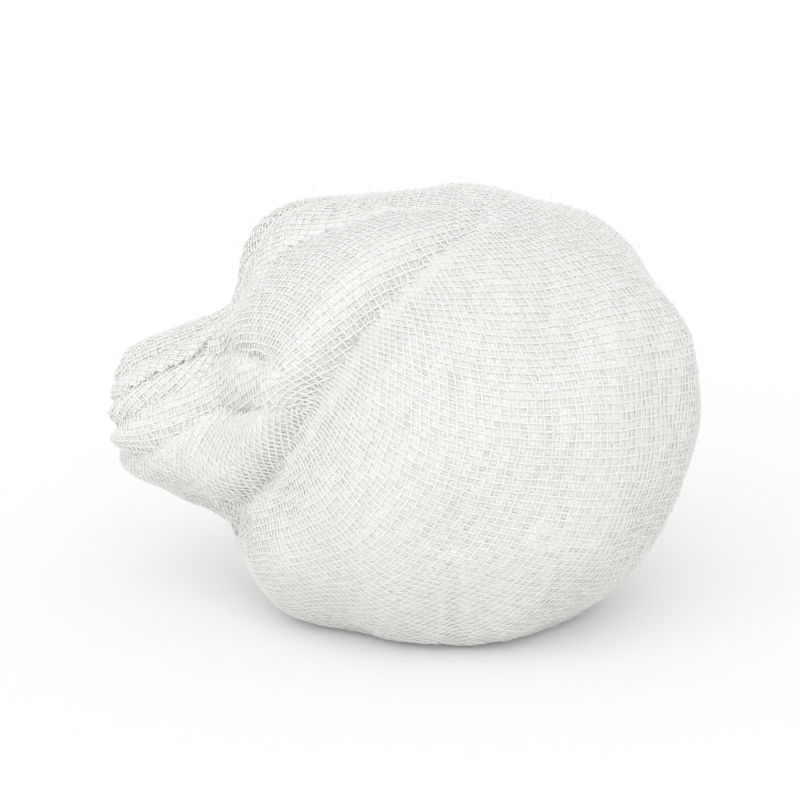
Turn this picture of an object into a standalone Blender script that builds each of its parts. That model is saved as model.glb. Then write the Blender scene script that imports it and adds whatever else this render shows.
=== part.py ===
# A ball-shaped gauze swab: one square of woven cotton gauze, folded round itself, with its
# edges gathered to the left, twisted and tucked back into the ball.
# Metres, +Z up. The origin is the middle of the flat spot that the ball rests on.
# Bearings turn from the front, -Y, towards +X. Rises are above the horizon. Both in degrees.

import math
from collections import namedtuple

import bmesh
import bpy
from mathutils import Vector, noise

MM = 0.001

# The ball, before its folds, and how the table flattens it
BALL_WIDTH = 43.2 * MM
BALL_DEPTH = 43.5 * MM
BALL_HEIGHT = 40.0 * MM
BALL_SQUARENESS = 2.08
REST_PRESS = 2.8 * MM
REST_ROUNDING = 1.1 * MM
REST_TOUCH = 0.03 * MM

# The gathered neck, deeper from front to back than it is tall
NECK_BEARING = -101.0
NECK_RISE = -1.2
NECK_REACH = 9.9 * MM
NECK_TALL = 13.6 * MM
NECK_DEEP = 18.0 * MM
NECK_BLUNTNESS = 2.8

# The pocket in the neck's end, with the twisted end of the gauze tucked into it
POCKET_WIDTH = 6.4 * MM
POCKET_DEPTH = 5.0 * MM
BUD_WIDTH = 2.6 * MM
BUD_HEIGHT = 3.2 * MM

# Small even gathers round the pocket, turned by the twist
GATHER_COUNT = 12
GATHER_HEIGHT = 0.55 * MM
GATHER_UNEVENNESS = 0.16
GATHER_TWIST = 2.4
GATHER_REACH = 36.0

# Pleats run out of the pocket over the ball. Each has its angle round the neck (0 in front,
# 90 on top), how far it bends for each degree it runs, the degrees at which it starts and ends
# from the neck's axis, the depth of its valley, its width, and how far its upper side laps over.
Pleat = namedtuple("Pleat", "angle bend start end depth width lap")
PLEATS = (
    Pleat(-76.0, 1.38, 10.0, 106.0, 2.1 * MM, 2.4 * MM, 0.65),
    Pleat(60.0, -0.60, 12.0, 62.0, 1.0 * MM, 1.3 * MM, 0.30),
    Pleat(12.0, 0.05, 22.0, 64.0, 1.2 * MM, 1.7 * MM, 0.25),
    Pleat(64.0, 0.12, 14.0, 100.0, 1.2 * MM, 2.2 * MM, -0.20),
    Pleat(96.0, -0.15, 8.0, 62.0, 1.5 * MM, 1.6 * MM, 0.30),
    Pleat(121.0, 0.25, 8.0, 104.0, 1.7 * MM, 2.0 * MM, 0.45),
    Pleat(152.0, 0.30, 8.0, 64.0, 1.2 * MM, 1.5 * MM, 0.30),
    Pleat(172.0, 0.45, 8.0, 112.0, 1.8 * MM, 2.1 * MM, 0.55),
    Pleat(204.0, 0.10, 8.0, 58.0, 1.3 * MM, 1.5 * MM, 0.30),
    Pleat(228.0, -0.20, 8.0, 92.0, 1.5 * MM, 1.9 * MM, 0.30),
    Pleat(258.0, 0.30, 8.0, 56.0, 1.2 * MM, 1.5 * MM, 0.30),
)

# Soft swellings where folded layers and corners push out from inside
Lobe = namedtuple("Lobe", "bearing rise spread height")
LOBES = (
    Lobe(-103.0, 43.0, 19.0, 3.3 * MM),
    Lobe(-76.0, -38.0, 24.0, 1.9 * MM),
    Lobe(-34.0, 38.0, 20.0, 0.8 * MM),
    Lobe(60.0, 24.0, 26.0, 0.9 * MM),
    Lobe(84.0, -18.0, 22.0, -1.2 * MM),
    Lobe(142.0, 30.0, 28.0, 1.6 * MM),
    Lobe(178.0, -16.0, 28.0, 1.3 * MM),
)

# The uneven packing of the layers inside
LUMP_SIZE = 15.0 * MM
LUMP_HEIGHT = 0.8 * MM

# Facets, closer together at the neck
ROUND_STEPS = 104
NECK_STEPS = 48
STEP_CROWDING = 1.32


def heading(bearing, rise):
    turn, lift = math.radians(bearing), math.radians(rise)
    return Vector((math.sin(turn) * math.cos(lift), -math.cos(turn) * math.cos(lift), math.sin(lift)))


def neck_frame():
    # Front, up and axis are right-handed, so the sphere's faces still point out once it is shaped
    axis = heading(NECK_BEARING, NECK_RISE)
    up = (Vector((0.0, 0.0, 1.0)) - axis * axis.z).normalized()
    front = up.cross(axis)
    return axis, up, front


AXIS, UP, FRONT = neck_frame()
MEAN_RADIUS = (BALL_WIDTH + BALL_DEPTH + BALL_HEIGHT) / 6.0
CENTRE = Vector((0.0, 0.0, BALL_HEIGHT / 2.0 - REST_PRESS))


def ease(value):
    value = min(1.0, max(0.0, value))
    return value * value * (3.0 - 2.0 * value)


def ball_radius(way):
    halves = (BALL_WIDTH / 2.0, BALL_DEPTH / 2.0, BALL_HEIGHT / 2.0)
    total = sum((abs(part) / half) ** BALL_SQUARENESS for part, half in zip(way, halves))
    return total ** (-1.0 / BALL_SQUARENESS)


def neck_height(polar, turn):
    half = 0.5 / math.hypot(math.cos(turn) / NECK_DEEP, math.sin(turn) / NECK_TALL)
    spread = math.atan2(half, MEAN_RADIUS)
    return NECK_REACH * math.exp(-((polar / spread) ** NECK_BLUNTNESS))


def pocket_height(polar):
    across = math.sin(min(polar, math.pi / 2.0)) * (MEAN_RADIUS + NECK_REACH)
    pocket = POCKET_DEPTH * math.exp(-((across / (POCKET_WIDTH / 2.0)) ** 2.0))
    bud = BUD_HEIGHT * math.exp(-((across / (BUD_WIDTH / 2.0)) ** 2.0))
    return bud - pocket


def gather_height(polar, turn):
    fade = ease(math.degrees(polar) / 5.0) * ease(1.0 - math.degrees(polar) / GATHER_REACH)
    twisted = turn - GATHER_TWIST * polar
    uneven = twisted + GATHER_UNEVENNESS * math.sin(2.0 * twisted)
    return GATHER_HEIGHT * fade * math.sin(GATHER_COUNT * uneven)


def pleat_height(polar, turn):
    # A pleat is a narrow valley that fades out along its length and laps over on one side
    total = 0.0
    run = math.degrees(polar)
    for pleat in PLEATS:
        line = math.radians(pleat.angle + pleat.bend * run)
        apart = (turn - line + math.pi) % (2.0 * math.pi) - math.pi
        across = apart * math.sin(polar) * MEAN_RADIUS / pleat.width
        half_length = (pleat.end - pleat.start) / 2.0
        along = ease((run - pleat.start) / (0.5 * half_length)) * ease((pleat.end - run) / half_length)
        valley = math.exp(-(abs(across) ** 1.3))
        lap = pleat.lap * across * math.exp(-across * across / 5.0)
        total += pleat.depth * along * (lap - valley)
    return total


def lobe_height(way):
    total = 0.0
    for lobe in LOBES:
        apart = math.degrees(way.angle(heading(lobe.bearing, lobe.rise)))
        total += lobe.height * math.exp(-((apart / lobe.spread) ** 2.0))
    return total


def lump_height(way):
    return LUMP_HEIGHT * noise.noise(way * (2.0 * MEAN_RADIUS / LUMP_SIZE))


def pressed_radius(way, radius):
    # Flat on the table where the ball would reach below it, turning up softly round the flat.
    # What would stand less than REST_TOUCH off the table lies on it.
    height = CENTRE.z + way.z * radius
    if height >= REST_ROUNDING:
        return radius
    lifted = max(0.0, height + REST_ROUNDING) ** 2 / (4.0 * REST_ROUNDING)
    if lifted < REST_TOUCH:
        lifted = 0.0
    return (lifted - CENTRE.z) / way.z


def skin_point(polar, turn):
    across = FRONT * math.cos(turn) + UP * math.sin(turn)
    way = AXIS * math.cos(polar) + across * math.sin(polar)
    radius = ball_radius(way) + neck_height(polar, turn) + pocket_height(polar) + gather_height(polar, turn)
    radius += pleat_height(polar, turn) + lobe_height(way) + lump_height(way)
    return CENTRE + way * pressed_radius(way, radius)


def make_swab(collection):
    skin = bmesh.new()
    bmesh.ops.create_uvsphere(skin, u_segments=ROUND_STEPS, v_segments=NECK_STEPS, radius=1.0)
    for corner in skin.verts:
        share = math.acos(max(-1.0, min(1.0, corner.co.z))) / math.pi
        corner.co = skin_point(math.pi * share ** STEP_CROWDING, math.atan2(corner.co.y, corner.co.x))
    mesh = bpy.data.meshes.new("gauze_swab")
    skin.to_mesh(mesh)
    skin.free()
    mesh.shade_smooth()
    swab = bpy.data.objects.new("gauze_swab", mesh)
    collection.objects.link(swab)
    return swab


def bleached_cotton():
    material = bpy.data.materials.new("bleached_cotton_gauze")
    material.use_nodes = True
    surface = material.node_tree.nodes["Principled BSDF"]
    surface.inputs["Base Color"].default_value = (0.86, 0.86, 0.84, 1.0)
    surface.inputs["Roughness"].default_value = 0.95
    surface.inputs["Metallic"].default_value = 0.0
    return material


def main():
    for leftover in list(bpy.data.objects):
        bpy.data.objects.remove(leftover)
    collection = bpy.data.collections.new("gauze_swab")
    bpy.context.scene.collection.children.link(collection)
    swab = make_swab(collection)
    swab.data.materials.append(bleached_cotton())


main()
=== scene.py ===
import math

import bmesh
import bpy
import numpy as np
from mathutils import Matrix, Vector, noise


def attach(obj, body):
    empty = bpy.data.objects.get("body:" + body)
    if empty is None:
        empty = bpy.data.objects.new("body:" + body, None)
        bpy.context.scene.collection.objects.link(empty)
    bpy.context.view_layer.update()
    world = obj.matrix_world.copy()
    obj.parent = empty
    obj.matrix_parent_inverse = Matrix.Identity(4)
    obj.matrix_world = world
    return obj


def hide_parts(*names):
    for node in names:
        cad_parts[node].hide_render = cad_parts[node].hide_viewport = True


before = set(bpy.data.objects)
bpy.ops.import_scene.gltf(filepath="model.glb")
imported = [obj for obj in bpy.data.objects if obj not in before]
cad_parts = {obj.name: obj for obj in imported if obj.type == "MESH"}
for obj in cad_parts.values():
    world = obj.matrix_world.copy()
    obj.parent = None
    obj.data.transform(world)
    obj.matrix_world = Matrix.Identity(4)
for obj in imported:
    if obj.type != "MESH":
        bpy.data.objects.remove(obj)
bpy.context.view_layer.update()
mm = 0.001


# Helpers

def linear(hexColour):
    # sRGB hex to the linear values that Blender's sockets take
    parts = [int(hexColour[k:k + 2], 16) / 255 for k in (1, 3, 5)]
    return tuple(c / 12.92 if c <= 0.04045 else ((c + 0.055) / 1.055) ** 2.4 for c in parts) + (1.0,)


def addNode(tree, kind, inputs=None, **settings):
    # inputs: socket name or number -> a plain value, a node (its first output) or an output socket
    node = tree.nodes.new(kind)
    for name, value in settings.items():
        setattr(node, name, value)
    for key, value in (inputs or {}).items():
        named = (s for s in node.inputs if s.name == key and s.enabled)
        socket = node.inputs[key] if isinstance(key, int) else next(named)
        if isinstance(value, bpy.types.Node):
            value = next(s for s in value.outputs if s.enabled)
        if isinstance(value, bpy.types.NodeSocket):
            tree.links.new(value, socket)
        else:
            socket.default_value = value
    return node


def newTree(name, sockets):
    # a Geometry Nodes tree with named inputs; returns it and its input node's sockets
    tree = bpy.data.node_groups.new(name, "GeometryNodeTree")
    for label, kind in sockets.items():
        tree.interface.new_socket(label, in_out="INPUT", socket_type="NodeSocket" + kind)
    tree.interface.new_socket("Geometry", in_out="OUTPUT", socket_type="NodeSocketGeometry")
    return tree, addNode(tree, "NodeGroupInput").outputs


def growMesh(name, tree, values):
    # runs the tree on an empty object and keeps the result as a plain mesh
    obj = newObject(name, bpy.data.meshes.new(name))
    grow = obj.modifiers.new("grow", "NODES")
    grow.node_group = tree
    for item in tree.interface.items_tree:
        if item.name in values:
            grow[item.identifier] = values[item.name]
    shaped = obj.evaluated_get(bpy.context.evaluated_depsgraph_get())
    mesh = bpy.data.meshes.new_from_object(shaped)
    obj.modifiers.remove(grow)
    obj.data = mesh
    mesh.name = name
    print(name, "made:", sum(len(p.vertices) - 2 for p in mesh.polygons), "triangles")
    return obj


def newObject(name, data):
    obj = bpy.data.objects.new(name, data)
    bpy.context.scene.collection.objects.link(obj)
    return obj


def readVectors(collection, field):
    flat = np.empty(len(collection) * 3)
    collection.foreach_get(field, flat)
    return flat.reshape(-1, 3)


def storeVectors(mesh, name, vectors):
    mesh.attributes.new(name, "FLOAT_VECTOR", "POINT").data.foreach_set("vector", vectors.ravel())


def ease(x):
    x = np.clip(x, 0, 1)
    return x * x * (3 - 2 * x)


# The folded shape of the swab, the same rule as the CAD solid's, at a finer step

skinValues = {
    "ballSize": (43.2 * mm, 43.5 * mm, 40.0 * mm),
    "squareness": 2.08,
    "restPress": 2.8 * mm,             # how far the ball sinks flat on the table
    "restRounding": 1.1 * mm,
    "neckBearing": -101.0,
    "neckRise": -1.2,
    "neckReach": 9.9 * mm,
    "neckTall": 13.6 * mm,
    "neckDeep": 18.0 * mm,
    "neckBluntness": 2.8,
    "pocket": (6.4 * mm, 5.0 * mm),    # width and depth
    "bud": (2.6 * mm, 3.2 * mm),       # width and height
    # count, height, unevenness, twist, reach
    "gathers": (12, 0.55 * mm, 0.16, 2.4, 36.0),
    "gatherStart": 5.0,                # degrees over which they rise from the neck's end
    "valleySharpness": 1.3,
    "lapSpread": 5.0,
    "lump": (15.0 * mm, 0.8 * mm),     # size and height
    "roundSteps": 208,
    "neckSteps": 104,
    "crowding": 1.32,                  # more than 1 sets the rings closer at the neck
    "normalRounds": 24,                # of evening out the directions that layers are inset along
}

# angle round the neck, bend, start, end, depth, width, lap
pleats = (
    (-76.0, 1.38, 10.0, 106.0, 2.1 * mm, 2.4 * mm, 0.65),
    (60.0, -0.60, 12.0, 62.0, 1.0 * mm, 1.3 * mm, 0.30),
    (12.0, 0.05, 22.0, 64.0, 1.2 * mm, 1.7 * mm, 0.25),
    (64.0, 0.12, 14.0, 100.0, 1.2 * mm, 2.2 * mm, -0.20),
    (96.0, -0.15, 8.0, 62.0, 1.5 * mm, 1.6 * mm, 0.30),
    (121.0, 0.25, 8.0, 104.0, 1.7 * mm, 2.0 * mm, 0.45),
    (152.0, 0.30, 8.0, 64.0, 1.2 * mm, 1.5 * mm, 0.30),
    (172.0, 0.45, 8.0, 112.0, 1.8 * mm, 2.1 * mm, 0.55),
    (204.0, 0.10, 8.0, 58.0, 1.3 * mm, 1.5 * mm, 0.30),
    (228.0, -0.20, 8.0, 92.0, 1.5 * mm, 1.9 * mm, 0.30),
    (258.0, 0.30, 8.0, 56.0, 1.2 * mm, 1.5 * mm, 0.30),
)

# bearing, rise, spread, height
lobes = (
    (-103.0, 43.0, 19.0, 3.3 * mm),
    (-76.0, -38.0, 24.0, 1.9 * mm),
    (-34.0, 38.0, 20.0, 0.8 * mm),
    (60.0, 24.0, 26.0, 0.9 * mm),
    (84.0, -18.0, 22.0, -1.2 * mm),
    (142.0, 30.0, 28.0, 1.6 * mm),
    (178.0, -16.0, 28.0, 1.3 * mm),
)


def heading(bearing, rise):
    b, r = math.radians(bearing), math.radians(rise)
    return np.array([math.sin(b) * math.cos(r), -math.cos(b) * math.cos(r), math.sin(r)])


neckAxis = heading(skinValues["neckBearing"], skinValues["neckRise"])
neckUp = np.array([0.0, 0.0, 1.0]) - neckAxis * neckAxis[2]
neckUp /= np.linalg.norm(neckUp)
neckFront = np.cross(neckUp, neckAxis)
meanRadius = sum(skinValues["ballSize"]) / 6
ballCentre = np.array([0.0, 0.0, skinValues["ballSize"][2] / 2 - skinValues["restPress"]])


def wrap(angle):
    return (angle + math.pi) % (2 * math.pi) - math.pi


def pleatLine(pleat, polar):
    return np.radians(pleat[0] + pleat[1] * np.degrees(polar))


def pleatStrength(pleat, polar):
    run, half = np.degrees(polar), (pleat[3] - pleat[2]) / 2
    return ease((run - pleat[2]) / (0.5 * half)) * ease((pleat[3] - run) / half)


def skinRadius(polar, turn, way):
    v = skinValues
    halves = np.array(v["ballSize"]) / 2
    radius = ((np.abs(way) / halves) ** v["squareness"]).sum(axis=1) ** (-1 / v["squareness"])

    half = 0.5 / np.hypot(np.cos(turn) / v["neckDeep"], np.sin(turn) / v["neckTall"])
    radius += v["neckReach"] * np.exp(-((polar / np.arctan2(half, meanRadius)) ** v["neckBluntness"]))

    across = np.sin(np.minimum(polar, math.pi / 2)) * (meanRadius + v["neckReach"])
    radius -= v["pocket"][1] * np.exp(-((2 * across / v["pocket"][0]) ** 2))
    radius += v["bud"][1] * np.exp(-((2 * across / v["bud"][0]) ** 2))

    count, height, uneven, twist, reach = v["gathers"]
    fade = ease(np.degrees(polar) / v["gatherStart"]) * ease(1 - np.degrees(polar) / reach)
    twisted = turn - twist * polar
    radius += height * fade * np.sin(count * (twisted + uneven * np.sin(2 * twisted)))

    for pleat in pleats:
        x = wrap(turn - pleatLine(pleat, polar)) * np.sin(polar) * meanRadius / pleat[5]
        valley = np.exp(-(np.abs(x) ** v["valleySharpness"]))
        lap = pleat[6] * x * np.exp(-x * x / v["lapSpread"])
        radius += pleat[4] * pleatStrength(pleat, polar) * (lap - valley)

    for bearing, rise, spread, height in lobes:
        apart = np.degrees(np.arccos(np.clip(way @ heading(bearing, rise), -1, 1)))
        radius += height * np.exp(-((apart / spread) ** 2))

    size, height = v["lump"]
    radius += height * np.array([noise.noise(Vector(w)) for w in way * (2 * meanRadius / size)])
    return radius


def pressedRadius(way, radius):
    # flat where the ball would reach below the table
    rounding = skinValues["restRounding"]
    height = ballCentre[2] + way[:, 2] * radius
    lifted = np.maximum(0, height + rounding) ** 2 / (4 * rounding)
    low = height < rounding
    return np.where(low, (lifted - ballCentre[2]) / np.where(low, way[:, 2], -1.0), radius)


def skinPoints(polar, turn):
    across = np.outer(np.cos(turn), neckFront) + np.outer(np.sin(turn), neckUp)
    way = neckAxis * np.cos(polar)[:, None] + across * np.sin(polar)[:, None]
    return ballCentre + way * pressedRadius(way, skinRadius(polar, turn, way))[:, None]


def makeSkin():
    v = skinValues
    bm = bmesh.new()
    bmesh.ops.create_uvsphere(bm, u_segments=v["roundSteps"], v_segments=v["neckSteps"], radius=1)
    unit = np.array([vertex.co for vertex in bm.verts])
    share = np.arccos(np.clip(unit[:, 2], -1, 1)) / math.pi
    polar = math.pi * share ** v["crowding"]
    turn = np.arctan2(unit[:, 1], unit[:, 0])
    mesh = bpy.data.meshes.new("skin")
    bm.to_mesh(mesh)
    bm.free()
    mesh.vertices.foreach_set("co", skinPoints(polar, turn).ravel())
    mesh.shade_smooth()
    # direction from the middle of the ball, in the neck's own frame, kept through the subdivision
    storeVectors(mesh, "place", np.column_stack(
        [np.cos(turn) * np.sin(polar), np.sin(turn) * np.sin(polar), np.cos(polar)]))
    return newObject("gauzeSwabWad", mesh)


def placeAngles(mesh):
    place = readVectors(mesh.attributes["place"].data, "vector")
    place /= np.linalg.norm(place, axis=1)[:, None]
    return np.arccos(np.clip(place[:, 2], -1, 1)), np.arctan2(place[:, 1], place[:, 0])


body = makeSkin()
dimensions = [round(x / mm, 1) for x in body.dimensions]
print("skin shaped:", len(body.data.vertices), "points,", dimensions, "mm")


# Cloth simulation: the outer layer is a little larger than the ball, so it crinkles against it

clothValues = {
    "scale": 20.0,               # the ball is simulated about a metre wide, where the solver is steady
    "spareNeck": 0.05,           # spare gauze, as a share of its width
    "spareBelly": 0.02,
    "spareFade": (100.0, 70.0),  # polar angle where the neck's spare gauze has run out, and over how much
    "hold": 0.25,                # how firmly the layers below hold the outer one
    "heldHeight": 0.3 * mm,      # on the table it is held fully, up to this height
    "heldEnd": 6.0,              # and so it is this many degrees round the end of the neck
    "steps": 24,
    "solver": {"quality": 6, "mass": 0.15, "tension_stiffness": 12.0, "compression_stiffness": 12.0,
               "shear_stiffness": 3.0, "bending_stiffness": 0.04, "air_damping": 3.0,
               "use_pressure": True, "uniform_pressure_force": 0.6},
    "cap": 1.2 * mm,             # the farthest that a point may move
    "evenFrom": 166.0,           # polar angle beyond which the round end moves as one, without a peak
    "evenOver": 8.0,
    "evenRing": 2.0,             # half the width of the ring that gives it its move
}


def crinkle(obj):
    v = clothValues
    mesh = obj.data
    rest = readVectors(mesh.vertices, "co")
    mesh.vertices.foreach_set("co", (rest * v["scale"]).ravel())
    polar = np.degrees(placeAngles(mesh)[0])
    held = obj.vertex_groups.new(name="held")
    spare = obj.vertex_groups.new(name="spare")
    fadeEnd, fadeOver = v["spareFade"]
    for k in range(len(rest)):
        fixed = rest[k, 2] < v["heldHeight"] or polar[k] < v["heldEnd"]
        held.add([k], 1.0 if fixed else v["hold"], "REPLACE")
        spare.add([k], float(np.clip((fadeEnd - polar[k]) / fadeOver, 0, 1)), "REPLACE")
    cloth = obj.modifiers.new("cloth", "CLOTH")
    settings = cloth.settings
    for name, value in v["solver"].items():
        setattr(settings, name, value)
    settings.vertex_group_mass = "held"
    settings.vertex_group_shrink = "spare"
    settings.shrink_min, settings.shrink_max = -v["spareBelly"], -v["spareNeck"]
    settings.effector_weights.gravity = 0
    cloth.collision_settings.use_collision = False
    cloth.point_cache.frame_start, cloth.point_cache.frame_end = 1, v["steps"]
    for step in range(1, v["steps"] + 1):
        bpy.context.scene.frame_set(step)
    shaped = obj.evaluated_get(bpy.context.evaluated_depsgraph_get())
    shift = readVectors(shaped.data.vertices, "co") / v["scale"] - rest
    obj.modifiers.remove(cloth)
    obj.vertex_groups.clear()
    bpy.context.scene.frame_set(1)

    size = np.linalg.norm(shift, axis=1)
    shift *= np.minimum(1, v["cap"] / np.maximum(size, 1e-9))[:, None]
    even = ease((polar - v["evenFrom"]) / v["evenOver"])[:, None]
    ring = np.abs(polar - v["evenFrom"]) < v["evenRing"]
    shift += even * (shift[ring].mean(axis=0) - shift)
    shift[:, 2] = np.maximum(shift[:, 2], -rest[:, 2])      # never into the table
    mesh.vertices.foreach_set("co", (rest + shift).ravel())
    mesh.update()
    print("cloth settled: moved %.2f mm on average, %.2f mm at most" % (size.mean() / mm, size.max() / mm))


crinkle(body)


def easedNormals(mesh, rounds):
    # vertex normals averaged with their neighbours', so that an inset layer doesn't cross itself
    ends = np.empty(len(mesh.edges) * 2, int)
    mesh.edges.foreach_get("vertices", ends)
    a, b = ends.reshape(-1, 2).T
    normals = readVectors(mesh.vertex_normals, "vector")
    for _ in range(rounds):
        total = normals.copy()
        np.add.at(total, a, normals[b])
        np.add.at(total, b, normals[a])
        normals = total / np.linalg.norm(total, axis=1)[:, None]
    return normals


def subdivide(obj):
    smooth = obj.modifiers.new("smooth", "SUBSURF")
    smooth.levels = smooth.render_levels = 1
    mesh = bpy.data.meshes.new_from_object(obj.evaluated_get(bpy.context.evaluated_depsgraph_get()))
    obj.modifiers.remove(smooth)
    obj.data = mesh


subdivide(body)
outward = easedNormals(body.data, skinValues["normalRounds"])
print("skin subdivided:", len(body.data.polygons), "faces")


# The sheet of gauze laid over the skin. Its middle is opposite the neck. Towards the neck its
# spare width is tucked away at the pleats and gathers: on one side of each tuck the gauze rolls
# over in a lip and turns back under itself, and on the other side it slips in under that lip.

sheetValues = {
    "width": 156 * mm,        # of the part of the sheet that shows
    "evenness": 0.5,          # 0 keeps lengths along the threads, 1 keeps the size of the holes
    "tucked": 0.85,           # share of the spare width that goes into tucks
    "fewTucks": 4.0,          # where fewer tucks than this run, they take less
    "fullTuck": 1.6 * mm,     # a tuck of this width or more has a full lip
    "fullRoom": 5.0 * mm,     # tucks closer than this have smaller lips
    "fullPleat": 1.5 * mm,    # a pleat of this depth takes as much as a gather
    "gatherFade": 14.0,       # degrees over which a gather with no pleat of its own runs out
    "meeting": (32.0, 16.0),  # polar angle where the gathers run out into the pleats, and over how much
    "lipOver": 0.3 * mm,      # how far the lip comes forward over the fold
    "lipReach": 2.6 * mm,     # how far from the fold it moves the gauze
    "lipShare": 0.4,          # but no more than this share of the way to the next tuck
    "lipRise": 0.05 * mm,
    "riseReach": 0.6,         # share of the lip's reach
    "lipRoll": 0.10 * mm,     # its edge rolls down by this
    "rollReach": 0.3 * mm,
    "underSink": 0.06 * mm,   # the other side sinks under the lip
    "sinkReach": 0.5,         # share of the lip's reach
    "hemReach": 0.75 * mm,    # how far the gauze is followed inside the tuck
    "hemShare": 0.42,         # but no more than this share of the tuck's width
    "hemDepth": 0.36 * mm,
    "hemBend": 0.4 * mm,      # the lip's hem is down at this way inside
    "underDepth": 1.8,        # depth of the other side's hem, as a share of the lip's
    "underBend": 0.7 * mm,
    "hemAside": 0.012 * mm,   # hems lie this far off the flat sheet, so a thread finds the skin's faces first
    "slimmest": 0.02 * mm,    # a tuck slimmer than this is none
    "floorGap": 0.09 * mm,
    "nearTuck": 1.2,          # how far round from a tuck its lip may be, as an angle
    "rounds": 200,            # of easing the flat sheet to true lengths
    "momentum": 0.8,
}


def outFromNeck(polar):
    middle, width = sheetValues["meeting"]
    return ease((np.degrees(polar) - middle) / width + 0.5)


def hemRoom(width):
    return np.minimum(sheetValues["hemReach"], sheetValues["hemShare"] * width)


def sheetProfile():
    # distance from the sheet's middle, and what share of the width is spare, by polar angle
    polar = np.radians(np.linspace(180, 0.01, 361))
    turns = np.radians(np.arange(0, 360, 6))
    rows = np.array([skinPoints(np.full(len(turns), p), turns) for p in polar])
    step = np.linalg.norm(np.diff(rows, axis=0), axis=2).mean(axis=1)
    run = np.concatenate([[0], np.cumsum(step)])
    axial = (rows - ballCentre) @ neckAxis
    reach = np.linalg.norm(rows - ballCentre - axial[..., None] * neckAxis, axis=2).mean(axis=1)
    area = np.concatenate([[0], np.cumsum(2 * math.pi * (reach[1:] + reach[:-1]) / 2 * step)])
    even = sheetValues["evenness"] * ease((polar[1:] - 1.0) / 1.0)      # true lengths where there are tucks
    steps = (1 - even) * np.diff(run) + even * np.diff(np.sqrt(area / math.pi))
    along = np.concatenate([[0], np.cumsum(steps)])
    pace = np.gradient(along, run)
    spare = np.clip(1 - reach / np.maximum(along * pace, 1e-6), 0, 1)
    return polar[::-1], along[::-1], spare[::-1]


def tuckLines():
    # every gather of the neck runs out into the pleat nearest to it; each tuck is its line and its
    # strength, both by polar angle, and the side that its lip lies on
    v = sheetValues
    count, _, uneven, twist, reach = skinValues["gathers"]
    meeting = math.radians(v["meeting"][0])
    valleys = []
    for k in range(count):
        valley = start = (k - 0.25) * 2 * math.pi / count
        for _ in range(4):
            valley = start - uneven * math.sin(2 * valley)
        valleys.append(valley)
    ordered = sorted(pleats, key=lambda pleat: pleatLine(pleat, meeting) % (2 * math.pi))

    def taken(choice):
        # the gathers from the first on, one of them left out, because there is one pleat less
        first, left = choice
        rolled = valleys[first:] + valleys[:first]
        return rolled[:left] + rolled[left + 1:]

    def misfit(choice):
        return sum(wrap(pleatLine(pleat, meeting) - valley - twist * meeting) ** 2
                   for pleat, valley in zip(ordered, taken(choice)))

    choices = ((first, left) for first in range(count) for left in range(count))
    pairs = dict(zip(taken(min(choices, key=misfit)), ordered))

    def gatherTuck(valley):
        return (lambda p: valley + twist * p), (lambda p: ease((reach - np.degrees(p)) / v["gatherFade"])), 1

    def pleatTuck(valley, pleat):
        depth, start, end = pleat[4] / v["fullPleat"], pleat[2], pleat[3]
        whole = 2 * math.pi * round((pleatLine(pleat, meeting) - valley - twist * meeting) / (2 * math.pi))

        def line(p):
            return valley + twist * p + outFromNeck(p) * (pleatLine(pleat, p) - whole - valley - twist * p)

        def strength(p):
            return 1 + outFromNeck(p) * (depth * ease(2 * (end - np.degrees(p)) / (end - start)) - 1)

        return line, strength, 1 if pleat[6] > 0 else -1

    return [pleatTuck(valley, pairs[valley]) if valley in pairs else gatherTuck(valley) for valley in valleys]


def untwist(lines, tablePolar, tableAlong):
    # how far the flat sheet is turned at each polar angle, so that tucks slant on it as on the skin
    slopes = sum(strength(tablePolar) * (line(tablePolar + 0.01) - line(tablePolar - 0.01)) / 0.02
                 for line, strength, _ in lines)
    mean = slopes / np.maximum(sum(strength(tablePolar) for _, strength, _ in lines), 1)
    pace = np.abs(np.gradient(tableAlong, tablePolar))
    rate = mean * (1 - np.clip(np.sin(tablePolar) * pace / np.maximum(tableAlong, 1e-6), 0, 1))
    turned = np.concatenate([[0], np.cumsum((rate[1:] + rate[:-1]) / 2 * np.diff(tablePolar))])
    return turned[-1] - turned


def foldedOver(side, top, inside, own, amount, reach, ways):
    # how a tuck moves the gauze at each corner; own and inside are its distances to the fold, and
    # the ways are the one outward, the one across the tuck and the one along the skin
    v = sheetValues
    over = (side == top)[:, None]
    edge = np.exp(-(own / (v["riseReach"] * reach)) ** 2)
    roll = np.clip(1 - own / v["rollReach"], 0, 1) ** 2
    sunk = np.exp(-(own / (v["sinkReach"] * reach)) ** 2)
    rise = amount * np.where(over, v["lipRise"] * edge - v["lipRoll"] * roll, -v["underSink"] * sunk)
    bend = np.sqrt(np.clip(inside / v["hemBend"], 0, 1)) * v["hemDepth"]
    rise -= np.where(over, bend, v["underDepth"] * v["hemDepth"] * ease(inside / v["underBend"]))
    aside = 2 * top * over * inside
    slide = -top * over * amount * v["lipOver"] * np.exp(-(own / reach) ** 2)
    return sum(way * far[..., None] for way, far in zip(ways, (rise, aside, slide)))


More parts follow.
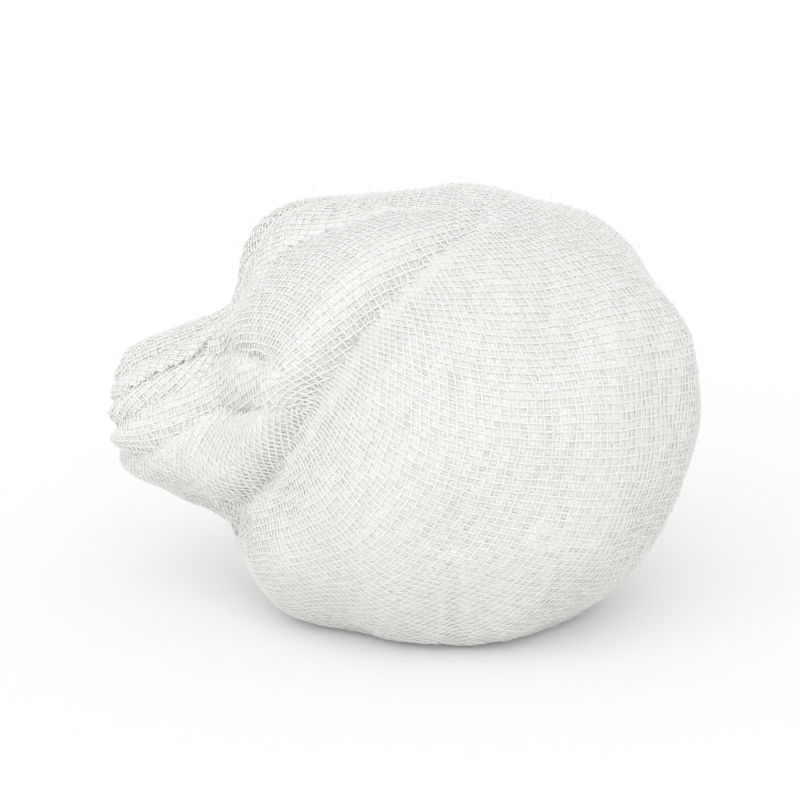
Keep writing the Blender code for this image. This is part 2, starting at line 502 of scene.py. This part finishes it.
def layOut(mesh):
    # every face of the sheet: its corners' numbers on the skin, and their places on the flat sheet
    # and on the folded one
    v = sheetValues
    polar, turn = placeAngles(mesh)
    corners = np.empty(len(mesh.loops), int)
    mesh.loops.foreach_get("vertex_index", corners)
    corners = corners.reshape(-1, 4)
    points = readVectors(mesh.vertices, "co")
    normals = readVectors(mesh.vertex_normals, "vector")
    sines = np.sin(polar)
    radius = np.linalg.norm(points - ballCentre, axis=1) * sines
    tablePolar, tableAlong, tableSpare = sheetProfile()
    along = np.interp(polar, tablePolar, tableAlong)
    lines = tuckLines()
    total = sum(strength(polar) for _, strength, _ in lines)
    spare = np.interp(polar, tablePolar, tableSpare)
    each = 2 * math.pi * v["tucked"] * spare / np.maximum(total, v["fewTucks"])
    eastward = np.outer(-np.sin(turn), neckFront) + np.outer(np.cos(turn), neckUp)
    across = np.outer(np.cos(turn), neckFront) + np.outer(np.sin(turn), neckUp)
    southward = across * np.cos(polar)[:, None] - neckAxis * sines[:, None]

    # every face is measured from its own middle, so that none spans a seam
    facePolar = polar[corners].mean(axis=1)
    faceTurn = np.arctan2((sines * np.sin(turn))[corners].sum(axis=1),
                          (sines * np.cos(turn))[corners].sum(axis=1))
    cornerTurn = faceTurn[:, None] + wrap(turn[corners] - faceTurn[:, None])
    cornerTurn = np.where(sines[corners] < 1e-4, faceTurn[:, None], cornerTurn)
    extraTurn = np.interp(polar, tablePolar, untwist(lines, tablePolar, tableAlong))
    tucks = []
    for line, strength, top in lines:
        lean = (line(polar + 0.01) - line(polar - 0.01)) / 0.02 * sines
        slant = np.hypot(1, lean)
        middle = wrap(faceTurn - line(facePolar))
        apart = (middle[:, None] + (cornerTurn - faceTurn[:, None])
                 - (line(polar)[corners] - line(facePolar)[:, None]))
        jump = each * strength(polar)
        room = 2 * math.pi * radius / (len(pleats) * slant)             # to the next tuck
        amount = ease(jump * along / v["fullTuck"]) * np.minimum(1, room / v["fullRoom"])
        reach = np.minimum(v["lipReach"], v["lipShare"] * room) + 1e-6
        aside = (eastward - lean[:, None] * southward) / slant[:, None]
        slide = aside - normals * (aside * normals).sum(axis=1)[:, None]
        tucks.append((middle, apart, jump, radius / slant, amount, reach, (outward, aside, slide), top))

    # near each tuck, the gauze is followed on inside it, from either side
    parts = [(np.arange(len(corners)), None, 0)]
    for k, (middle, _, jump, metric, *_) in enumerate(tucks):
        apart = middle * metric[corners].mean(axis=1)
        room = hemRoom(jump * along)[corners].mean(axis=1)
        for side in (-1, 1):
            hem = (-side * apart > 0) & (-side * apart < room) & (np.abs(middle) < 1)
            parts.append((np.flatnonzero(hem), k, side))
    numbers, angles, places = [], [], []
    for faces, forced, forcedSide in parts:
        c = corners[faces]
        angle, place = cornerTurn[faces] + extraTurn[c], points[c].copy()
        for k, (middle, apart, jump, metric, amount, reach, ways, top) in enumerate(tucks):
            side = np.where(middle[faces] < 0, -1, 1) if k != forced else np.full(len(faces), forcedSide)
            angle += jump[c] * (side[:, None] / 2 - apart[faces] / (2 * math.pi))
            near = np.flatnonzero(np.abs(middle[faces]) < v["nearTuck"])
            n = c[near]
            own = side[near][:, None] * apart[faces[near]] * metric[n]
            place[near] += foldedOver(side[near], top, np.maximum(-own, 0) * (k == forced),
                                      np.maximum(own, 0), amount[n], reach[n], [way[n] for way in ways])
        numbers.append(c)
        angles.append(angle)
        places.append(place)
    return *(np.concatenate(lists) for lists in (numbers, angles, places)), along, polar, points, tucks


def joined(numbers, angles, along):
    # corners of the same point on the same side of every tuck become one point of the flat sheet
    first = np.zeros(len(along))
    first[numbers.ravel()] = angles.ravel()
    apart = np.where(along[numbers] < 1e-6, 0, wrap(angles - first[numbers])).ravel()
    order = np.lexsort((apart, numbers.ravel()))
    fresh = (np.diff(numbers.ravel()[order]) != 0) | (np.diff(apart[order]) > 1e-6)
    index = np.empty(numbers.size, int)
    index[order] = np.concatenate([[0], np.cumsum(fresh)])
    return index.reshape(-1, 4)


def acrossWay(flat, left, right):
    # the way across a tuck, square to the run of its middle line, smoothed over twelve points each way
    middle = (flat[left] + flat[right]) / 2
    ends = np.concatenate([middle[:1]] * 12 + [middle] + [middle[-1:]] * 12)
    sums = np.cumsum(ends, axis=0)
    run = (sums[24:] - sums[12:-12]) - (sums[12:-12] - sums[:-24])
    across = np.column_stack([run[:, 1], -run[:, 0]])
    across /= np.maximum(np.linalg.norm(across, axis=1), 1e-12)[:, None]
    facing = np.sign(((flat[right] - flat[left]) * across).sum(axis=1).sum())
    return across * facing


def facingSides(flat, faces, numbers, along, polar, tucks):
    # for every tuck, from the neck on: its points on one side and on the other, and how far apart
    # they have to stay
    v = sheetValues
    pairs = []
    for middle, _, jump, *_ in tucks:
        own = len(middle)
        sides = []
        for chosen in ((middle < 0) & (middle > -v["nearTuck"]), (middle >= 0) & (middle < v["nearTuck"])):
            side = np.full(len(along), -1)
            side[numbers[:own][chosen]] = faces[:own][chosen]
            sides.append(side)
        width = jump * along
        both = np.flatnonzero((sides[0] >= 0) & (sides[1] >= 0) & (sides[0] != sides[1])
                              & (width > v["slimmest"]))
        both = both[np.argsort(polar[both])]
        left, right = sides[0][both], sides[1][both]
        gap = ((flat[right] - flat[left]) * acrossWay(flat, left, right)).sum(axis=1)
        pairs.append((left, right, np.minimum(0.95 * gap, 2 * hemRoom(width[both]) + 0.1 * mm)))
    return pairs


def eased(flat, faces, points, sides):
    # moves the flat points until each face has nearly the form that it has on the skin, and no
    # tuck closes
    middle = points.mean(axis=1, keepdims=True)
    normal = np.cross(points[:, 2] - points[:, 0], points[:, 3] - points[:, 1])
    first = points[:, 1] - points[:, 0] + points[:, 2] - points[:, 3]
    normal /= np.linalg.norm(normal, axis=1)[:, None]
    first -= normal * (first * normal).sum(axis=1)[:, None]
    first /= np.linalg.norm(first, axis=1)[:, None]
    x = ((points - middle) * first[:, None]).sum(axis=2)
    y = ((points - middle) * np.cross(normal, first)[:, None]).sum(axis=2)
    a, b = (flat[faces[:, k + 2]] - flat[faces[:, k]] for k in (0, 1))
    y *= np.sign(np.median(a[:, 0] * b[:, 1] - a[:, 1] * b[:, 0]))
    corner = faces.ravel()
    shares = np.bincount(corner, minlength=len(flat))
    left, right, least = (np.concatenate(column) for column in zip(*sides))
    before = flat
    for k in range(sheetValues["rounds"]):
        if k % 20 == 0:
            across = np.concatenate([acrossWay(flat, one, other) for one, other, _ in sides])
        # each face, turned to fit where its corners are now, says where it would have them
        u, w = flat[:, 0][faces], flat[:, 1][faces]
        a = (u * x + w * y).sum(axis=1)
        b = (w * x - u * y).sum(axis=1)
        size = np.hypot(a, b)
        a, b = (a / size)[:, None], (b / size)[:, None]
        goals = (u.mean(axis=1)[:, None] + a * x - b * y, w.mean(axis=1)[:, None] + b * x + a * y)
        new = np.column_stack([np.bincount(corner, g.ravel(), len(flat)) / shares for g in goals])
        new += sheetValues["momentum"] * (flat - before)
        # points that face each other across a tuck keep their distance
        apart = new[right] - new[left]
        short = np.maximum(0, least - (apart * across).sum(axis=1))
        short = (short * (np.linalg.norm(apart, axis=1) < 2.5 * least))[:, None] * across / 2
        np.add.at(new, right, short)
        np.add.at(new, left, -short)
        flat, before = new, flat
    return flat


def makeSheet(mesh):
    v = sheetValues
    numbers, angles, places, along, polar, points, tucks = layOut(mesh)
    faces = joined(numbers, angles, along)
    count = faces.max() + 1
    flat, folded, out = np.empty((count, 2)), np.empty((count, 3)), np.empty((count, 3))
    # where the skin's own faces and those inside a tuck meet, the skin's own count
    own = slice(0, len(mesh.polygons))
    for k in (slice(None), own):
        spread = along[numbers[k]][..., None] * np.stack([np.cos(angles[k]), np.sin(angles[k])], axis=2)
        flat[faces[k]], folded[faces[k]], out[faces[k]] = spread, places[k], outward[numbers[k]]
    aside = np.full(count, v["hemAside"])
    aside[faces[own]] = 0
    folded[:, 2] = np.maximum(folded[:, 2], v["floorGap"])
    flat = eased(flat, faces, points[numbers], facingSides(flat, faces, numbers, along, polar, tucks))
    flatMesh = bpy.data.meshes.new("sheet")
    flatMesh.from_pydata(folded, [], faces.tolist())
    storeVectors(flatMesh, "folded", folded)
    storeVectors(flatMesh, "outward", out)
    storeVectors(flatMesh, "facing", readVectors(flatMesh.vertex_normals, "vector"))
    flatMesh.vertices.foreach_set("co", np.column_stack([flat, aside]).ravel())
    # the skin itself keeps its places on the flat sheet, for the weave of the layers under it
    uv = flat[faces[own]] / v["width"] + 0.5
    mesh.uv_layers.new(name="sheet").data.foreach_set("uv", uv.ravel())
    return newObject("sheet", flatMesh)


sheet = makeSheet(body.data)
print("sheet laid:", len(sheet.data.polygons), "faces, with its tucks")


# Threads of the gauze, by Geometry Nodes

gauzeValues = {
    # one sheet has about 12 by 8 threads in 10 mm; closer here, as several folded sheets look together
    "warpSpacing": 0.62 * mm,      # 16 threads in 10 mm
    "weftSpacing": 0.75 * mm,      # 13 threads in 10 mm
    "yarnWidth": 0.22 * mm,
    "flatness": 0.55,              # the soft yarn is pressed flat against the swab
    "rise": 0.045 * mm,            # how far a thread passes over and under
    "waviness": 0.35 * mm,
    "waveScale": 210.0,            # waves in a metre
    "thickness": 0.18,             # uneven thickness of the yarn, as a share
    "thicknessScale": 900.0,       # thick places in a metre
    "offSheet": 0.02 * mm,         # a thread is left out where the sheet is farther than this
    "longest": 2.2,                # and cut where its next point is farther than this many steps
    "seed": 5,
    "layers": (                    # name, turn in degrees, depth below the skin, sides of the yarn
        ("Outer", 9.0, 0.06 * mm, 5),
        ("Inner", 32.0, 0.16 * mm, 4),
    ),
}


def threadTree():
    # one set of threads, warp or weft, of one layer
    v = gauzeValues
    tree, given = newTree("gauzeThreads", {
        "sheet": "Object", "width": "Float", "spacing": "Float", "crossing": "Float", "turn": "Float",
        "rise": "Float", "depth": "Float", "yarnWidth": "Float", "flatness": "Float", "sides": "Int",
        "waviness": "Float", "thickness": "Float", "seed": "Int", "yarn": "Material"})
    scalar, vector = "ShaderNodeMath", "ShaderNodeVectorMath"

    # a grid with a line of points for each thread and a point at each crossing
    grid = {}
    half = addNode(tree, scalar, {0: given["width"], 1: 2.0}, operation="DIVIDE")
    for axis, spacing in (("X", given["spacing"]), ("Y", given["crossing"])):
        steps = addNode(tree, scalar, {0: half, 1: spacing}, operation="DIVIDE")
        steps = addNode(tree, scalar, {0: steps}, operation="CEIL")
        steps = addNode(tree, scalar, {0: steps, 1: 2.0}, operation="MULTIPLY")
        grid["Size " + axis] = addNode(tree, scalar, {0: steps, 1: spacing}, operation="MULTIPLY")
        grid["Vertices " + axis] = addNode(tree, scalar, {0: steps, 1: 1.0}, operation="ADD")
    lines = addNode(tree, "GeometryNodeMeshGrid", grid)
    # only the edges along the threads stay
    edge = addNode(tree, "GeometryNodeInputMeshEdgeVertices")
    ends = {0: edge.outputs["Position 1"], 1: edge.outputs["Position 2"]}
    gap = addNode(tree, vector, ends, operation="SUBTRACT")
    sideways = addNode(tree, "ShaderNodeSeparateXYZ", {0: gap})
    sideways = addNode(tree, scalar, {0: sideways}, operation="ABSOLUTE")
    least = addNode(tree, scalar, {0: given["spacing"], 1: 0.5}, operation="MULTIPLY")
    crosses = addNode(tree, scalar, {0: sideways, 1: least}, operation="GREATER_THAN")
    lines = addNode(tree, "GeometryNodeDeleteGeometry", {"Geometry": lines, "Selection": crosses},
                    domain="EDGE", mode="EDGE_FACE")

    # each point's place on the flat sheet, turned and made a little uneven
    here = addNode(tree, "GeometryNodeInputPosition")
    turned = addNode(tree, "ShaderNodeVectorRotate", {"Vector": here, "Angle": given["turn"]},
                     rotation_type="Z_AXIS")
    other = addNode(tree, "ShaderNodeCombineXYZ", {"Z": given["seed"]})
    other = addNode(tree, vector, {0: turned, 1: other}, operation="ADD")
    drift = addNode(tree, "ShaderNodeTexNoise", {"Vector": other, "Scale": v["waveScale"], "Detail": 2.0})
    drift = addNode(tree, vector, {0: drift.outputs["Color"], 1: (0.5, 0.5, 0.5)}, operation="SUBTRACT")
    drift = addNode(tree, vector, {0: drift, "Scale": given["waviness"]}, operation="SCALE")
    drift = addNode(tree, vector, {0: drift, 1: (2.0, 2.0, 0.0)}, operation="MULTIPLY")
    flat = addNode(tree, vector, {0: turned, 1: drift}, operation="ADD")

    # the same place on the folded sheet, by what the sheet's points keep
    source = addNode(tree, "GeometryNodeObjectInfo", {"Object": given["sheet"]})
    kept = {"place": addNode(tree, "GeometryNodeInputPosition")}
    for name in ("folded", "facing", "outward"):
        kept[name] = addNode(tree, "GeometryNodeInputNamedAttribute", {"Name": name},
                             data_type="FLOAT_VECTOR")
    found = {}
    for name, value in kept.items():
        found[name] = addNode(tree, "GeometryNodeSampleNearestSurface", {
            "Mesh": source.outputs["Geometry"], "Value": value, "Sample Position": flat},
            data_type="FLOAT_VECTOR")

    # over one thread and under the next
    split = addNode(tree, "ShaderNodeSeparateXYZ", {0: here})
    order = addNode(tree, scalar, {0: split.outputs[0], 1: given["spacing"]}, operation="DIVIDE")
    order = addNode(tree, scalar, {0: order}, operation="ROUND")
    phase = addNode(tree, scalar, {0: split.outputs[1], 1: given["crossing"]}, operation="DIVIDE")
    phase = addNode(tree, scalar, {0: order, 1: phase}, operation="ADD")
    phase = addNode(tree, scalar, {0: phase, 1: math.pi}, operation="MULTIPLY")
    lift = addNode(tree, scalar, {0: phase}, operation="COSINE")
    lift = addNode(tree, scalar, {0: lift, 1: given["rise"]}, operation="MULTIPLY")
    rise = addNode(tree, vector, {0: found["facing"], "Scale": lift}, operation="SCALE")
    sink = addNode(tree, vector, {0: found["outward"], "Scale": given["depth"]}, operation="SCALE")
    target = addNode(tree, vector, {0: found["folded"], 1: sink}, operation="SUBTRACT")
    target = addNode(tree, vector, {0: target, 1: rise}, operation="ADD")
    off = addNode(tree, vector, {0: found["place"], 1: flat}, operation="DISTANCE")
    off = addNode(tree, scalar, {0: off.outputs["Value"], 1: v["offSheet"]}, operation="GREATER_THAN")
    lines = addNode(tree, "GeometryNodeDeleteGeometry", {"Geometry": lines, "Selection": off},
                    domain="POINT")
    lines = addNode(tree, "GeometryNodeStoreNamedAttribute", {
        "Geometry": lines, "Name": "facing", "Value": found["facing"]},
        data_type="FLOAT_VECTOR", domain="POINT")
    lines = addNode(tree, "GeometryNodeSetPosition", {"Geometry": lines, "Position": target})
    # a thread ends where its next point lies far off, on the other side of a tuck
    gap = addNode(tree, vector, ends, operation="DISTANCE")
    most = addNode(tree, scalar, {0: given["crossing"], 1: v["longest"]}, operation="MULTIPLY")
    far = addNode(tree, scalar, {0: gap.outputs["Value"], 1: most}, operation="GREATER_THAN")
    lines = addNode(tree, "GeometryNodeDeleteGeometry", {"Geometry": lines, "Selection": far},
                    domain="EDGE", mode="EDGE_FACE")

    # yarn round each line, with what the material needs to turn its twist round it
    curve = addNode(tree, "GeometryNodeMeshToCurve", {"Mesh": lines})
    curve = addNode(tree, "GeometryNodeSetCurveNormal", {"Curve": curve, "Normal": kept["facing"]},
                    mode="FREE")
    length = addNode(tree, "GeometryNodeSplineParameter").outputs["Length"]
    curve = addNode(tree, "GeometryNodeStoreNamedAttribute", {
        "Geometry": curve, "Name": "along", "Value": length}, data_type="FLOAT", domain="POINT")
    thinnest = addNode(tree, scalar, {0: 1.0, 1: given["thickness"]}, operation="SUBTRACT")
    thickest = addNode(tree, scalar, {0: 1.0, 1: given["thickness"]}, operation="ADD")
    uneven = addNode(tree, "ShaderNodeTexNoise", {"Scale": v["thicknessScale"], "Detail": 1.0})
    uneven = addNode(tree, "ShaderNodeMapRange", {
        "Value": uneven, "From Min": 0.25, "From Max": 0.75, "To Min": thinnest, "To Max": thickest},
        clamp=False)
    radius = addNode(tree, scalar, {0: given["yarnWidth"], 1: 0.5}, operation="MULTIPLY")
    ring = addNode(tree, "GeometryNodeCurvePrimitiveCircle", {
        "Resolution": given["sides"], "Radius": radius})
    around = addNode(tree, vector, {0: kept["place"]}, operation="NORMALIZE")
    ring = addNode(tree, "GeometryNodeStoreNamedAttribute", {
        "Geometry": ring, "Name": "around", "Value": around}, data_type="FLOAT_VECTOR", domain="POINT")
    pressed = addNode(tree, "ShaderNodeCombineXYZ", {"X": given["flatness"], "Y": 1.0, "Z": 1.0})
    ring = addNode(tree, "GeometryNodeTransform", {"Geometry": ring, "Scale": pressed})
    yarn = addNode(tree, "GeometryNodeCurveToMesh", {
        "Curve": curve, "Profile Curve": ring, "Scale": uneven, "Fill Caps": True})
    yarn = addNode(tree, "GeometryNodeSetShadeSmooth", {"Geometry": yarn, "Shade Smooth": True})
    yarn = addNode(tree, "GeometryNodeRealizeInstances", {"Geometry": yarn})
    yarn = addNode(tree, "GeometryNodeSetMaterial", {"Geometry": yarn, "Material": given["yarn"]})
    addNode(tree, "NodeGroupOutput", {"Geometry": yarn})
    return tree


# Loose fibres that stand off the yarns

fluffValues = {
    "perSquareMetre": 260000.0,
    "shortest": 0.45,              # scale of the fibres below
    "longest": 1.35,
    "thickness": 0.011 * mm,       # half of it; drawn a little thicker than the real 8 micrometres, to show
    "bends": (                     # middle and end of each kind of fibre, from its foot on the yarn
        ((0.25 * mm, 0, 0.55 * mm), (0.75 * mm, 0.2 * mm, 0.6 * mm)),
        ((-0.3 * mm, 0.2 * mm, 0.4 * mm), (0.1 * mm, 0.55 * mm, 0.75 * mm)),
        ((0.1 * mm, -0.35 * mm, 0.35 * mm), (-0.5 * mm, -0.6 * mm, 0.35 * mm)),
    ),
    "tilt": 1.2,                   # either way, as an angle
    "seed": 7,
}


def fluffTree():
    v = fluffValues
    tree, given = newTree("gauzeFluff", {
        "warp": "Object", "weft": "Object", "perSquareMetre": "Float", "shortest": "Float",
        "longest": "Float", "thickness": "Float", "seed": "Int", "fibre": "Material"})
    yarns = addNode(tree, "GeometryNodeJoinGeometry")
    for name in ("weft", "warp"):
        source = addNode(tree, "GeometryNodeObjectInfo", {"Object": given[name]})
        tree.links.new(source.outputs["Geometry"], yarns.inputs[0])
    spots = addNode(tree, "GeometryNodeDistributePointsOnFaces", {
        "Mesh": yarns, "Density": given["perSquareMetre"], "Seed": given["seed"]})
    kinds = addNode(tree, "GeometryNodeJoinGeometry")
    ring = addNode(tree, "GeometryNodeCurvePrimitiveCircle", {"Resolution": 3, "Radius": given["thickness"]})
    for middle, end in v["bends"]:
        line = addNode(tree, "GeometryNodeCurveQuadraticBezier", {
            "Resolution": 4, "Start": (0, 0, 0), "Middle": middle, "End": end})
        hair = addNode(tree, "GeometryNodeCurveToMesh", {
            "Curve": line, "Profile Curve": ring, "Fill Caps": True})
        one = addNode(tree, "GeometryNodeGeometryToInstance", {"Geometry": hair})
        tree.links.new(one.outputs[0], kinds.inputs[0])
    tilt = addNode(tree, "FunctionNodeRandomValue", {
        "Min": (-v["tilt"], -v["tilt"], -math.pi), "Max": (v["tilt"], v["tilt"], math.pi), "Seed": 1},
        data_type="FLOAT_VECTOR")
    turned = addNode(tree, "FunctionNodeRotateRotation", {
        "Rotation": spots.outputs["Rotation"], "Rotate By": tilt}, rotation_space="LOCAL")
    size = addNode(tree, "FunctionNodeRandomValue", {
        "Min": given["shortest"], "Max": given["longest"], "Seed": 2}, data_type="FLOAT")
    pick = addNode(tree, "FunctionNodeRandomValue", {
        "Min": 0, "Max": len(v["bends"]) - 1, "Seed": 3}, data_type="INT")
    hairs = addNode(tree, "GeometryNodeInstanceOnPoints", {
        "Points": spots, "Instance": kinds, "Pick Instance": True, "Instance Index": pick,
        "Rotation": turned, "Scale": size})
    hairs = addNode(tree, "GeometryNodeRealizeInstances", {"Geometry": hairs})
    hairs = addNode(tree, "GeometryNodeSetMaterial", {"Geometry": hairs, "Material": given["fibre"]})
    addNode(tree, "NodeGroupOutput", {"Geometry": hairs})
    return tree


# Materials

yarnValues = {
    "colour": "#FAFAF8",        # bleached cotton, a trace warmer than paper white
    "finish": {"Roughness": 0.9, "Specular IOR Level": 0.25, "Sheen Weight": 0.25, "Sheen Roughness": 0.6},
    "twistPitch": 1.3 * mm,     # one turn of the yarn
    "fibreRun": 900.0,          # how fast its fibres change along it, for each metre
    "fibres": {"Scale": 2.6, "Detail": 3.0, "Roughness": 0.6},
    "bump": {"Strength": 0.6, "Distance": 0.05 * mm},
}

wadValues = {
    "colour": "#FCFCFB",
    # painted shade: a darker colour for the holes between the threads, where the layers below lie in shade
    "paintedHoleShade": "#F7F7F4",    # where light is lost between the threads of the folded layers
    "finish": {"Roughness": 0.95, "Specular IOR Level": 0.2},
    "turn": 57.0,               # degrees, of their weave against the sheet
    "drift": {"Scale": 60.0, "Detail": 2.0},
    "waviness": 0.008,          # share of the sheet's width
    "threadEdges": {"From Min": -0.1, "From Max": 0.8},
    "bump": {"Strength": 0.7, "Distance": 0.08 * mm},
    "depth": 0.145 * mm,        # below the skin
}


def newMaterial(name, values):
    material = bpy.data.materials.new(name)
    material.use_nodes = True
    shader = material.node_tree.nodes["Principled BSDF"]
    shader.inputs["Base Color"].default_value = linear(values["colour"])
    for socket, value in values["finish"].items():
        shader.inputs[socket].default_value = value
    return material, material.node_tree, shader


def bleachedYarn():
    # Bleached cotton, ring-spun single yarn: matt, a soft rim of light from its fibres, fine slanted twist
    v = yarnValues
    material, tree, shader = newMaterial("bleachedCottonYarn", v)
    along = addNode(tree, "ShaderNodeAttribute", attribute_name="along").outputs["Fac"]
    around = addNode(tree, "ShaderNodeAttribute", attribute_name="around").outputs["Vector"]
    angle = addNode(tree, "ShaderNodeMath", {0: along, 1: 2 * math.pi / v["twistPitch"]},
                    operation="MULTIPLY")
    turned = addNode(tree, "ShaderNodeVectorRotate", {"Vector": around, "Angle": angle},
                     rotation_type="Z_AXIS")
    run = addNode(tree, "ShaderNodeMath", {0: along, 1: v["fibreRun"]}, operation="MULTIPLY")
    run = addNode(tree, "ShaderNodeCombineXYZ", {"Z": run})
    place = addNode(tree, "ShaderNodeVectorMath", {0: turned, 1: run}, operation="ADD")
    fibres = addNode(tree, "ShaderNodeTexNoise", {**v["fibres"], "Vector": place})
    bump = addNode(tree, "ShaderNodeBump", {**v["bump"], "Height": fibres})
    tree.links.new(bump.outputs[0], shader.inputs["Normal"])
    return material


def foldedGauze():
    # Bleached cotton gauze in many folded layers, under the two outer ones: quite matt, and the same
    # open weave, seen faintly through their holes, with painted shade in the holes between its threads
    v = wadValues
    material, tree, shader = newMaterial("foldedCottonGauze", v)
    place = addNode(tree, "ShaderNodeUVMap", uv_map="sheet")
    turned = addNode(tree, "ShaderNodeVectorRotate", {"Vector": place, "Angle": math.radians(v["turn"])},
                     rotation_type="Z_AXIS")
    uneven = addNode(tree, "ShaderNodeTexNoise", {**v["drift"], "Vector": turned})
    shifted = addNode(tree, "ShaderNodeVectorMath", {
        0: uneven.outputs["Color"], 1: (v["waviness"], v["waviness"], 0.0), 2: turned},
        operation="MULTIPLY_ADD")
    split = addNode(tree, "ShaderNodeSeparateXYZ", {0: shifted})
    waves = {}
    for axis, spacing in enumerate((gauzeValues["warpSpacing"], gauzeValues["weftSpacing"])):
        pace = 2 * math.pi * sheetValues["width"] / spacing
        phase = addNode(tree, "ShaderNodeMath", {0: split.outputs[axis], 1: pace}, operation="MULTIPLY")
        waves[axis] = addNode(tree, "ShaderNodeMath", {0: phase}, operation="COSINE")
    thread = addNode(tree, "ShaderNodeMath", waves, operation="MAXIMUM")
    thread = addNode(tree, "ShaderNodeMapRange", {**v["threadEdges"], "Value": thread})
    # painted shade: the colour goes darker in the holes between the threads
    colour = addNode(tree, "ShaderNodeMix", {
        "Factor": thread, "A": linear(v["paintedHoleShade"]), "B": linear(v["colour"])}, data_type="RGBA")
    tree.links.new(colour.outputs[2], shader.inputs["Base Color"])
    bump = addNode(tree, "ShaderNodeBump", {**v["bump"], "Height": thread})
    tree.links.new(bump.outputs[0], shader.inputs["Normal"])
    return material


# The pieces: two plies of woven threads, the loose fibres and the wad under them

yarnMaterial = bleachedYarn()
wadMaterial = foldedGauze()
threads = threadTree()
pieces = [body]
for layer, turn, depth, sides in gauzeValues["layers"]:
    for kind, spacing, crossing, quarter, way in (
            ("Warp", "warpSpacing", "weftSpacing", 0, 1),
            ("Weft", "weftSpacing", "warpSpacing", 90, -1)):
        pieces.append(growMesh("gauzeSwab" + layer + kind, threads, {
            **gauzeValues,
            "sheet": sheet,
            "width": sheetValues["width"],
            "spacing": gauzeValues[spacing],
            "crossing": gauzeValues[crossing],
            "turn": math.radians(turn + quarter),
            "rise": way * gauzeValues["rise"],
            "depth": depth,
            "sides": sides,
            "yarn": yarnMaterial,
        }))
bpy.data.objects.remove(sheet)
pieces.append(growMesh("gauzeSwabFluff", fluffTree(), {
    **fluffValues, "warp": pieces[1], "weft": pieces[2], "fibre": yarnMaterial}))

# the skin itself becomes the wad, the folded layers under the two outer ones
inset = readVectors(body.data.vertices, "co") - outward * wadValues["depth"]
body.data.vertices.foreach_set("co", inset.ravel())
body.data.materials.append(wadMaterial)

# nothing reaches into the table
for piece in pieces:
    points = readVectors(piece.data.vertices, "co")
    points[:, 2] = np.maximum(points[:, 2], 0)
    piece.data.vertices.foreach_set("co", points.ravel())
    piece.data.update()


# Floor, light and camera

floorValues = {
    "colour": "#FAFAF9",
    "finish": {"Roughness": 0.9, "Specular IOR Level": 0.0},
    "half": 5.0,                  # metres from its middle to each side
    "lift": 0.09,                 # where the camera sees it, up to the white of the backdrop
}

lightValues = {
    "skyLevel": 0.78,
    "lampLevel": 0.9,             # pi is full white on a surface that faces the lamp
    "lampFrom": (-14.0, 38.0),    # bearing and rise
    "lampSpread": 70.0,
}

cameraValues = {
    "lens": 90.0,
    "sight": (-4.6 * mm, 0.0, 18.6 * mm),   # the point that it looks at
    "bearing": 0.0,
    "elevation": 14.0,
    "frameWidth": 71 * mm,                  # seen across the picture at that point
    "clip": (0.01, 50.0),
}


def makeFloor():
    # Smooth matt laminate, plain and pale, without a gloss
    v = floorValues
    half = v["half"]
    mesh = bpy.data.meshes.new("tableTop")
    mesh.from_pydata([(-half, -half, 0), (half, -half, 0), (half, half, 0), (-half, half, 0)],
                     [], [(0, 1, 2, 3)])
    material, tree, shader = newMaterial("mattWhiteTable", v)
    seen = addNode(tree, "ShaderNodeLightPath").outputs["Is Camera Ray"]
    lift = addNode(tree, "ShaderNodeMath", {0: seen, 1: v["lift"]}, operation="MULTIPLY")
    glow = addNode(tree, "ShaderNodeEmission", {"Strength": lift})
    both = addNode(tree, "ShaderNodeAddShader", {0: shader, 1: glow})
    tree.links.new(both.outputs[0], tree.nodes["Material Output"].inputs["Surface"])
    mesh.materials.append(material)
    newObject("tableTop", mesh)


def makeSky():
    # white where the camera sees it, a soft even light for everything else
    world = bpy.data.worlds.new("softStudio")
    world.use_nodes = True
    tree = world.node_tree
    light = tree.nodes["Background"]
    light.inputs["Color"].default_value = (1, 1, 1, 1)
    path = addNode(tree, "ShaderNodeLightPath")
    seen = path.outputs["Is Camera Ray"]
    for ray in ("Is Glossy Ray", "Is Transmission Ray"):
        seen = addNode(tree, "ShaderNodeMath", {0: seen, 1: path.outputs[ray]}, operation="MAXIMUM")
    level = addNode(tree, "ShaderNodeMapRange", {
        "Value": seen, "To Min": lightValues["skyLevel"], "To Max": 1.0})
    tree.links.new(level.outputs[0], light.inputs["Strength"])
    bpy.context.scene.world = world


def makeLamp():
    # a very wide soft lamp in front and above, far away so that the table is lit evenly
    v = lightValues
    lamp = bpy.data.lights.new("softLamp", "SUN")
    lamp.energy = v["lampLevel"]
    lamp.angle = math.radians(v["lampSpread"])
    back = Vector(heading(*v["lampFrom"]))
    newObject("softLamp", lamp).rotation_euler = (-back).to_track_quat("-Z", "Y").to_euler()


def makeCamera():
    v = cameraValues
    camera = bpy.data.cameras.new("camera")
    camera.lens = v["lens"]
    camera.clip_start, camera.clip_end = v["clip"]
    obj = newObject("camera", camera)
    back = Vector(heading(v["bearing"], v["elevation"]))
    obj.location = Vector(v["sight"]) + back * (v["frameWidth"] * camera.lens / camera.sensor_width)
    obj.rotation_euler = (-back).to_track_quat("-Z", "Y").to_euler()
    bpy.context.scene.camera = obj


makeFloor()
makeSky()
makeLamp()
makeCamera()
bpy.context.scene.view_settings.view_transform = "Standard"
print("floor, light and camera placed")


# What rides on what

for piece in pieces:
    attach(piece, "root")
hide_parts("gauze_swab")
